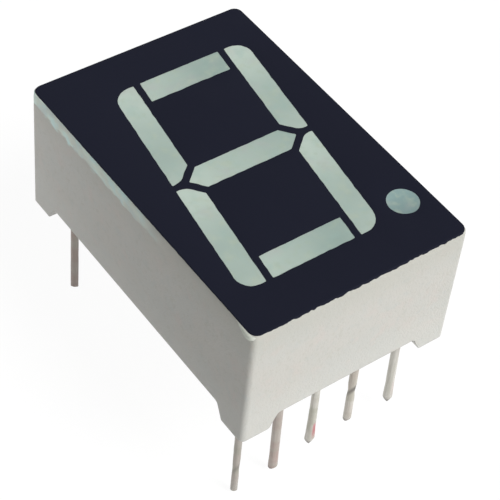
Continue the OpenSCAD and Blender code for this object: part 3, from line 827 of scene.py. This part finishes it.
# %% Loft the leads
LEAD_SIDES = 28
LEAD_STEP = 0.14 * MM
SWAY_FROM = 1.1 * MM        # the lead leaves the potting straight, and has swayed by here
SWAY_TO = -1.4 * MM
SQUEEZED = 1.3 * MM         # how far up the cutters' squeeze reaches
SPREAD = 0.5                # share of the squeeze by which the wire grows wider
CUT_FACING = math.radians(-40)    # the squeeze lies across this direction
CUT_EDGE = 0.05 * MM        # how soft the cut's edge is
CUT_ROUNDING = (1.0, 0.0), (0.35, 0.25), (0.0, 0.9)    # up and in, as shares of that
TIN_RELIEF = 0.035          # share of the radius by which the tinning varies, and over what length
TIN_WAVE = 0.8 * MM
NICK_REACH = 0.4 * MM       # how far a tool's pinch reaches
SEED_STEP = 7.0             # between two leads' noise


def lead_stations(pin, nominal_end):
    """Down the lead: the share of the free length, the height above it, and how far in."""
    (low, high), thin, wide = pin["collar"], pin["thin"], pin["wide"]
    hidden = (pin["tail"], thin), (high, thin), (high, wide), (low, wide), (low, thin)
    stations = [(0.0, height - low, radius, 0.0) for height, radius in hidden]
    count = round((low - nominal_end) / LEAD_STEP)
    stations += [(i / count, 0.0, thin, 0.0) for i in range(1, count)]
    return stations + [(1.0, up * CUT_EDGE, thin, drawn * CUT_EDGE) for up, drawn in CUT_ROUNDING]


def lead_point(pin, shape, side, station, seed):
    """One point of the lead, swayed, squeezed and cut."""
    share, above, radius, drawn = station
    low = pin["collar"][0]
    angle = 2 * math.pi * side / LEAD_SIDES
    place = math.cos(angle)
    climb = shape["left"] * max(0.0, shape["ridge"] - place)
    climb += shape["right"] * max(0.0, place - shape["ridge"])
    climb += shape["front"] * (1.0 - math.sin(angle)) / 2
    end = (climb - shape["reach"]) * MM
    height = low + (end - low) * share + above
    free = smooth_share(-height, -SWAY_FROM, -SWAY_TO)
    hanging = max(0.0, -height) / (shape["reach"] * MM)
    sway = (shape["off"] * free + shape["lean"] * hanging) * MM
    width = 1.0 + free * (shape["top"] - 1.0 + (shape["tip"] - shape["top"]) * hanging)
    tin = noise.noise(Vector((math.cos(angle), math.sin(angle), height / TIN_WAVE + seed)))
    width -= shape["nick"] * math.exp(-(((height + shape["at"] * MM) / NICK_REACH) ** 2))
    reach = radius * (width + TIN_RELIEF * tin * free) - drawn
    squeeze = shape["squeeze"] * smooth_share(-height, -end - SQUEEZED, -end)
    wide = reach * place * (1.0 + SPREAD * squeeze)
    flat = reach * math.sin(angle) * (1.0 - squeeze)
    x = wide * math.cos(CUT_FACING) - flat * math.sin(CUT_FACING)
    y = wide * math.sin(CUT_FACING) + flat * math.cos(CUT_FACING)
    return (pin["middle"].x + sway + x, pin["middle"].y + y, height)


def ladder(bm, closing):
    """Closes a ring with faces between the points that face each other across it."""
    for i in range(LEAD_SIDES // 2):
        corners = [closing[i], closing[i + 1], closing[-i - 1], closing[-i]]
        bm.faces.new(list(dict.fromkeys(corners)))


def build_lead(number):
    """One lead as a closed mesh, from its tail to its cut end."""
    pin, shape = measured_pin(number), LEADS[number]
    bm = bmesh.new()
    rings = []
    for station in lead_stations(pin, -shape["reach"] * MM):
        places = (lead_point(pin, shape, i, station, SEED_STEP * number) for i in range(LEAD_SIDES))
        rings.append([bm.verts.new(place) for place in places])
    bridge(bm, rings)
    ladder(bm, rings[0])
    ladder(bm, rings[-1])
    return bm


# %% [markdown]
# Tin that has sat in a drawer is not mirror bright. It is a soft beige-grey with long streaks
# along the wire where the solder drained, greenish and pinkish stretches where it was handled,
# and on some leads a trace of copper where the cutters smeared the tin. Painted shade darkens
# the cut end, and a slanted line of painted shade lies across a pinched lead.

# %% Tin the leads
CUT_RIGHT = Vector((math.cos(CUT_FACING), math.sin(CUT_FACING), 0.0))
CUT_SHADE_REACH = 0.4              # how far up a cut end gets painted shade, in mm
COPPER_SIDE = 0.02, 0.13    # right of the lead's middle: where copper begins, and is full, in mm
COPPER_TOP = 1.95, 1.6      # above the cut: where it begins, and is full
COPPER_WORN = 0.2, 1.3      # above the cut: where it has worn off, and is still full
PINCH_SHADE_SLANT = Vector((-0.29, 1.12, 0.64))    # the way across the line of painted shade
PINCH_SHADE_HALF = 0.24            # how far the painted shade reaches that way, in mm times the vector's length
PINCH_SHADE_FADE = 0.2             # how far to each side of the middle it fades, in mm
PINCH_SHADE_STRENGTH = 5.5         # how dark the painted shade is for its nick


def lead_middle(number, depth):
    """The middle of a lead at a depth below the feet, in mm."""
    shape, middle = LEADS[number], measured_pin(number)["middle"] / MM
    sway = shape["off"] + shape["lean"] * depth / shape["reach"]
    return Vector((middle.x + sway, middle.y, -depth))


def smeared_copper(tree, number):
    """Where copper shows: up the right side of a lead's cut end."""
    mark, reach = LEADS[number]["copper"], LEADS[number]["reach"]
    side = CUT_RIGHT.dot(lead_middle(number, reach))
    for axis, limits in (
        (CUT_RIGHT, (side + right for right in COPPER_SIDE)),
        (DOWN, (reach - above for above in COPPER_TOP)),
        (UP, (above - reach for above in COPPER_WORN)),
    ):
        mark = combine(tree, "MULTIPLY", zone(tree, axis, *limits), mark)
    return mark


def pinch_shade(tree, number):
    """A slanted line of painted shade across a pinched lead, fainter towards its left."""
    shape, middle = LEADS[number], lead_middle(number, LEADS[number]["at"])
    place, side = PINCH_SHADE_SLANT.dot(middle), CUT_RIGHT.dot(middle)
    below = zone(tree, PINCH_SHADE_SLANT, place - PINCH_SHADE_HALF, place)
    above = zone(tree, PINCH_SHADE_SLANT, place, place + PINCH_SHADE_HALF)
    line = combine(tree, "SUBTRACT", below, above)
    firm = between(tree, zone(tree, CUT_RIGHT, side - PINCH_SHADE_FADE, side + PINCH_SHADE_FADE), 0.5, 1.0)
    line = combine(tree, "MULTIPLY", line, firm)
    return combine(tree, "MULTIPLY", line, PINCH_SHADE_STRENGTH * shape["nick"])


def tinned_wire(number):
    """Tinned copper for one lead, with the tones and marks of its row in the table."""
    shape, seed = LEADS[number], 30.0 + 4 * number
    material, tree, shader = new_material(
        f"tinned_wire_{number}", metallic=0.35, specular_ior_level=0.4
    )
    streaks = mottle(tree, 0.16, seed, stretch=(1.0, 1.0, 14.0), detail=3.0)
    tone = mix_colours(tree, streaks, screen(199, 197, 187), screen(217, 215, 208))
    greenish = mottle(tree, 1.0, seed + 1.0, stretch=(1.6, 1.6, 1.0), low=0.42, high=0.58)
    tone = tinted(tree, tone, screen(180, 181, 164), greenish, shape["green"])
    pinkish = mottle(tree, 1.1, seed + 2.0, stretch=(1.6, 1.6, 1.0), low=0.4, high=0.6)
    pinkish = between(tree, pinkish, 0.35, 1.0)
    tone = tinted(tree, tone, screen(196, 175, 168), pinkish, shape["pink"])
    tone = mix_colours(tree, smeared_copper(tree, number), tone, screen(198, 106, 116))
    # Painted shade: the lead darkens towards its cut, for the shadow along the cut's edge.
    cut_shade = zone(tree, DOWN, shape["reach"] - CUT_SHADE_REACH, shape["reach"])
    tone = tinted(tree, tone, screen(96, 88, 90), cut_shade, 0.75)
    # Painted shade where the lead was pinched.
    tone = mix_colours(tree, pinch_shade(tree, number), tone, screen(92, 88, 84))
    # Each lead is darkened by its share in the table; on lead 10 this is painted shade.
    tone = mix_colours(tree, shape["dull"], tone, screen(84, 78, 72))
    paint(tree, shader, tone, streaks, 0.38, 0.55)
    bump(tree, shader, streaks, 0.006)
    return material


for number in LEADS:
    lead = new_piece(f"lead_{number}", build_lead(number), tinned_wire(number))
    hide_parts(f"pin_{number}")
print("leads:", len(LEADS))

# %% [markdown]
# ## Behind the face
#
# The underside shows the potting: a clear-white casting resin that seals the board and holds the
# leads. It is glossier than the moulding, a little cloudy, and a few small bubbles rose to its
# surface before it set. Bubbles are round cells of even size, which a Voronoi texture gives.

# %% Pour the potting


def potting_resin():
    material, tree, shader = new_material(
        "potting_resin",
        specular_ior_level=0.5,
        ior=1.53,
        subsurface_weight=0.3,
        subsurface_radius=(1.0, 1.0, 0.9),
        subsurface_scale=0.5 * MM,
    )
    cloudy = mottle(tree, 3.0, 41.0, detail=3.0)
    tone = mix_colours(tree, cloudy, screen(204, 207, 197), screen(190, 196, 188))
    paint(tree, shader, tone, cloudy, 0.16, 0.28)
    cells = add(tree, "TexVoronoi", {"Vector": point_in_mm(tree), "Scale": 0.9, "Randomness": 1.0})
    bump(tree, shader, steps(tree, cells.outputs["Distance"], 0.08, 0.2), 0.05)
    return material


dress("back_potting", potting_resin())
print("potting's underside, mm:", round(SKIRT, 2))

# %% [markdown]
# The board is glass cloth in resin. Its weave shows faintly through the pale solder mask as a
# fine crossed ripple, made here from two band textures at right angles.

# %% Weave the board's laminate


def board_laminate():
    material, tree, shader = new_material("board_laminate", specular_ior_level=0.4)
    weave = {"Vector": point_in_mm(tree), "Scale": 0.7, "Distortion": 0.6, "Detail": 1.0}
    warp, weft = (add(tree, "TexWave", weave, bands_direction=way) for way in ("X", "Y"))
    cloth = combine(tree, "MULTIPLY", warp.outputs["Fac"], weft.outputs["Fac"])
    tone = mix_colours(tree, cloth, screen(206, 212, 188), screen(222, 226, 208))
    tone = mix_colours(tree, mottle(tree, 1.5, 51.0), tone, screen(212, 216, 198))
    paint(tree, shader, tone, cloth, 0.5, 0.38)
    bump(tree, shader, cloth, 0.01)
    return material


dress("circuit_board", board_laminate())

# %% [markdown]
# The remaining metals and the chips are small and mostly sealed in, but each still has its own
# finish: flash-gold copper tracks, bright solder cones, gold bond wire, and dark red chips of
# fine grain. They differ in colour, grain and gloss, so one function and a table of those values
# serve them all.

# %% Finish the small parts


def fine_metal(name, bright, dull, grain_mm, rough, metallic, seed):
    """A metal or crystal of two tones, with grain, and a painted highlight along its edges, partly
    for polish.
    """
    material, tree, shader = new_material(name, metallic=metallic)
    patches = mottle(tree, grain_mm * 6, seed)
    tone = mix_colours(tree, patches, bright, dull)
    # Painted highlight along the edges, partly handling polish.
    tone = tinted(tree, tone, bright, edges(tree, 0.03, 3.0), 0.5)
    paint(tree, shader, tone, patches, *rough)
    bump(tree, shader, mottle(tree, grain_mm, seed + 1.0), 0.1 * grain_mm)
    return material


FINE_PARTS = {
    "flash_gold": (screen(226, 186, 118), screen(202, 156, 92), 0.08, (0.3, 0.45), 1.0, 61.0),
    "bright_solder": (screen(214, 214, 210), screen(180, 180, 176), 0.1, (0.2, 0.36), 1.0, 63.0),
    "chip_crystal": (screen(196, 92, 74), screen(150, 60, 52), 0.03, (0.3, 0.5), 0.2, 65.0),
    "bond_gold": (screen(232, 206, 140), screen(214, 182, 112), 0.02, (0.2, 0.3), 1.0, 67.0),
}
finishes = {name: fine_metal(name, *values) for name, values in FINE_PARTS.items()}
dress("board_copper", finishes["flash_gold"])
dress("solder_joints", finishes["bright_solder"])
for light in LIGHTS:
    dress("led_chip_" + light, finishes["chip_crystal"])
    dress("bond_wire_" + light, finishes["bond_gold"])
print("materials in all:", len([m for m in bpy.data.materials if m.users]))

# %% [markdown]
# ## The studio
#
# The display stands on a seamless white sweep under plain soft light. One large lamp high at the
# front right models the corner: the front wall is bright and the left wall falls to about half.
# A pale world fills the rest, and a white card close behind on the left lifts the far end of the
# left wall. The sweep glows a little, as a light table does, so the undersides aren't black. It
# shows white to the camera and to reflections, but it still takes the lamp's light, so the soft
# shadow under the part stays.

# %% Lay the floor
FLOOR_HALF = 400 * MM
FLOOR_GAP = 0.02 * MM       # below the longest lead
FLOOR_GLOW = 0.22           # light that the sweep gives off, as a share of a full white
WHITE_SHARE = 0.86          # how much of what the camera sees of the floor is plain white
WHITE_LEVEL = 1.07          # how bright that white is


def sees_background(tree):
    """1 for rays that show a background: from the camera, or in a reflection or through glass."""
    rays = add(tree, "LightPath").outputs
    seen = combine(tree, "MAXIMUM", rays["Is Camera Ray"], rays["Is Glossy Ray"])
    return combine(tree, "MAXIMUM", seen, rays["Is Transmission Ray"])


def show_instead(tree, share, lit, shown, output):
    """Shows one shader in place of another to a share of the rays."""
    mixed = add(tree, "MixShader", {0: share, 1: lit.outputs[0], 2: shown.outputs[0]})
    tree.links.new(mixed.outputs[0], tree.nodes[output].inputs["Surface"])


def sweep_material():
    material, tree, shader = new_material(
        "white_sweep",
        roughness=0.9,
        specular_ior_level=0.1,
        base_color=screen(203, 203, 203),
        emission_color=screen(255, 255, 255),
        emission_strength=FLOOR_GLOW,
    )
    plain = add(tree, "Emission", {"Strength": WHITE_LEVEL})
    share = combine(tree, "MULTIPLY", sees_background(tree), WHITE_SHARE)
    show_instead(tree, share, shader, plain, "Material Output")
    return material


floor_height = -max(shape["reach"] for shape in LEADS.values()) * MM - FLOOR_GAP
bm = bmesh.new()
bmesh.ops.create_grid(bm, x_segments=2, y_segments=2, size=FLOOR_HALF)
bmesh.ops.translate(bm, verts=bm.verts, vec=(0.0, 0.0, floor_height))
floor = new_object("sweep", bm, sweep_material())
floor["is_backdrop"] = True
print("floor at, mm:", round(floor_height / MM, 2))

# %% [markdown]
# The lamp is a sun with a wide disc, which lights a part this small as a softbox a metre away
# would. Its strength is in watts per square metre: pi of them on a white sheet facing it look
# exactly white, so the strengths below are written as shares of pi. The card is a small area
# lamp that stands upright beside the back left corner, outside the camera's view.

# %% Light the set
KEY_SHARE = 1.0
KEY_DISC = math.radians(28)
KEY_FROM = Vector((0.22, -0.63, 0.745))
KEY_TINT = (1.0, 0.995, 0.98)
CARD_AT = Vector((-16.0, 16.0, 3.0)) * MM
CARD_SIZE = 9 * MM
CARD_WATTS = 0.0003
FILL_SHARE = 0.07           # of a full white
FILL_TINT = (0.97, 1.0, 1.01, 1.0)


def add_lamp(name, kind, towards, **settings):
    """A lamp in the scene that shines against a direction."""
    lamp = bpy.data.objects.new(name, bpy.data.lights.new(name, kind))
    for setting, value in settings.items():
        setattr(lamp.data, setting, value)
    lamp.rotation_mode = "QUATERNION"
    lamp.rotation_quaternion = towards.to_track_quat("Z", "Y")
    scene.collection.objects.link(lamp)
    return lamp


add_lamp("key", "SUN", KEY_FROM, energy=KEY_SHARE * math.pi, angle=KEY_DISC, color=KEY_TINT)
card = add_lamp("card", "AREA", CARD_AT, energy=CARD_WATTS, size=CARD_SIZE)
card.location = CARD_AT

world = bpy.data.worlds.new("studio")
world.use_nodes = True
scene.world = world
tree = world.node_tree
soft = fill(tree, tree.nodes["Background"], {"Color": FILL_TINT, "Strength": FILL_SHARE})
white = add(tree, "Background", {"Color": screen(255, 255, 255), "Strength": 1.0})
show_instead(tree, sees_background(tree), soft, white, "World Output")
scene.view_settings.view_transform = "Standard"
print("key", KEY_SHARE, "and fill", FILL_SHARE, "of a full white")

# %% [markdown]
# Last, the finished model is measured against the CAD box. A finish may round an edge or trim a
# lead, but it must not make the part another size.

# %% Measure and finish
low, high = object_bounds()
growth = [round(v / MM, 3) for v in (*(cad_low - low), *(high - cad_high))]
print("outside the CAD box, mm:", growth)
